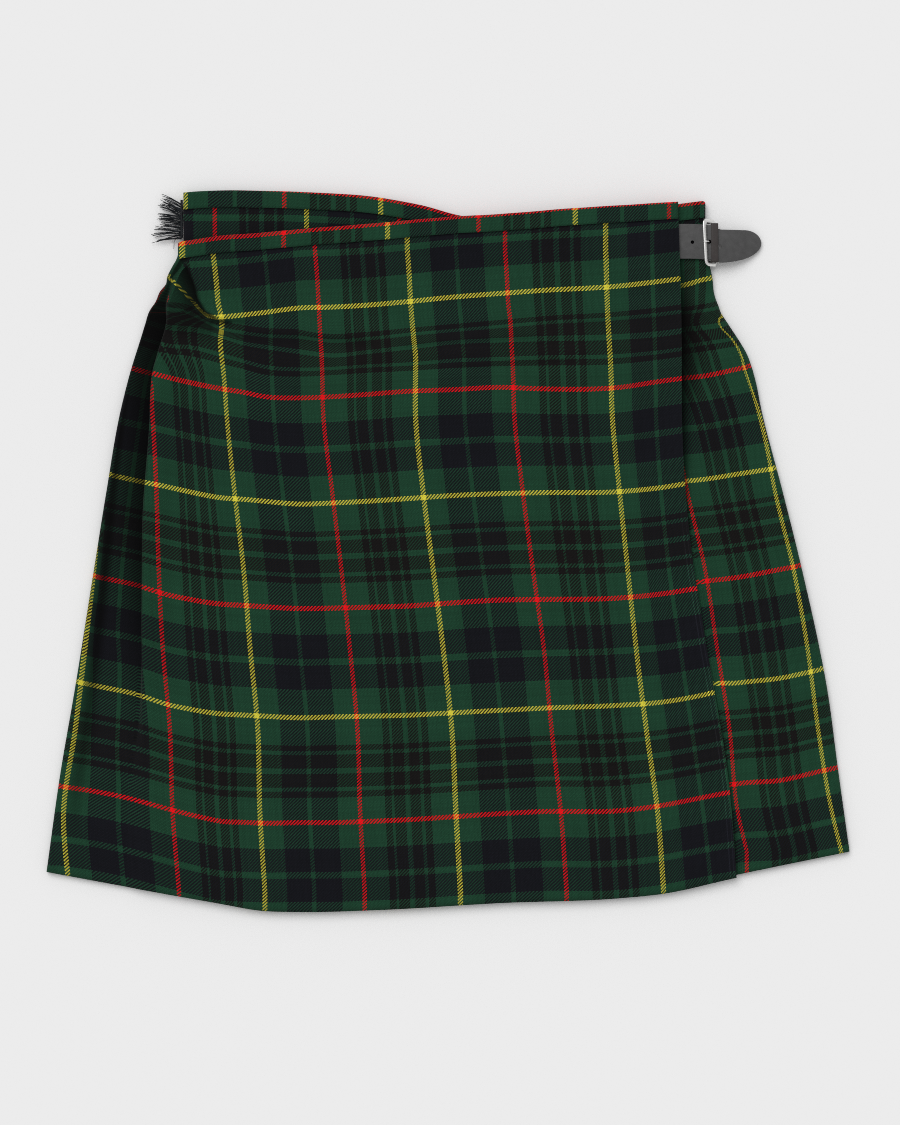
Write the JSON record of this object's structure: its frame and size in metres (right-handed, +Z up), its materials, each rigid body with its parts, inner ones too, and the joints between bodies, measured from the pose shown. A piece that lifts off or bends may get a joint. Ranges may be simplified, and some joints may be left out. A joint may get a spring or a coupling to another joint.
{
  "type": "wrap kilt",
  "caption": "Wrap kilt of dark green tartan cloth laid flat with its front up: overlapping aprons, a pleated back, a folded waistband, a frayed edge and a buckled strap at the hip.",
  "frame": {"origin": "middle of the laid-out kilt's outline, on the surface that it rests on", "axes": "+Z up from the surface, out of the kilt's front; +Y from the hem to the waistband; +X towards the buckle"},
  "size_m": [0.5864, 0.5252, 0.013],
  "materials": {
    "tartan_green": "wool twill in a green tartan with navy, black, red and yellow lines",
    "tartan_dark": "the same wool twill, pleats and frayed threads",
    "black_leather": "matte black grain leather",
    "nickel": "bright nickel plate"
  },
  "bodies": {
    "root": {"over_apron": "tartan_green", "under_apron": "tartan_green", "pleated_back": "tartan_dark", "waistband_over": "tartan_green", "waistband_under": "tartan_green", "waistband_back": "tartan_dark", "strap": "black_leather", "keeper": "black_leather", "buckle_tab": "black_leather", "buckle_frame": "nickel", "buckle_prong": "nickel", "fringe": "tartan_dark"}
  },
  "joints": []
}
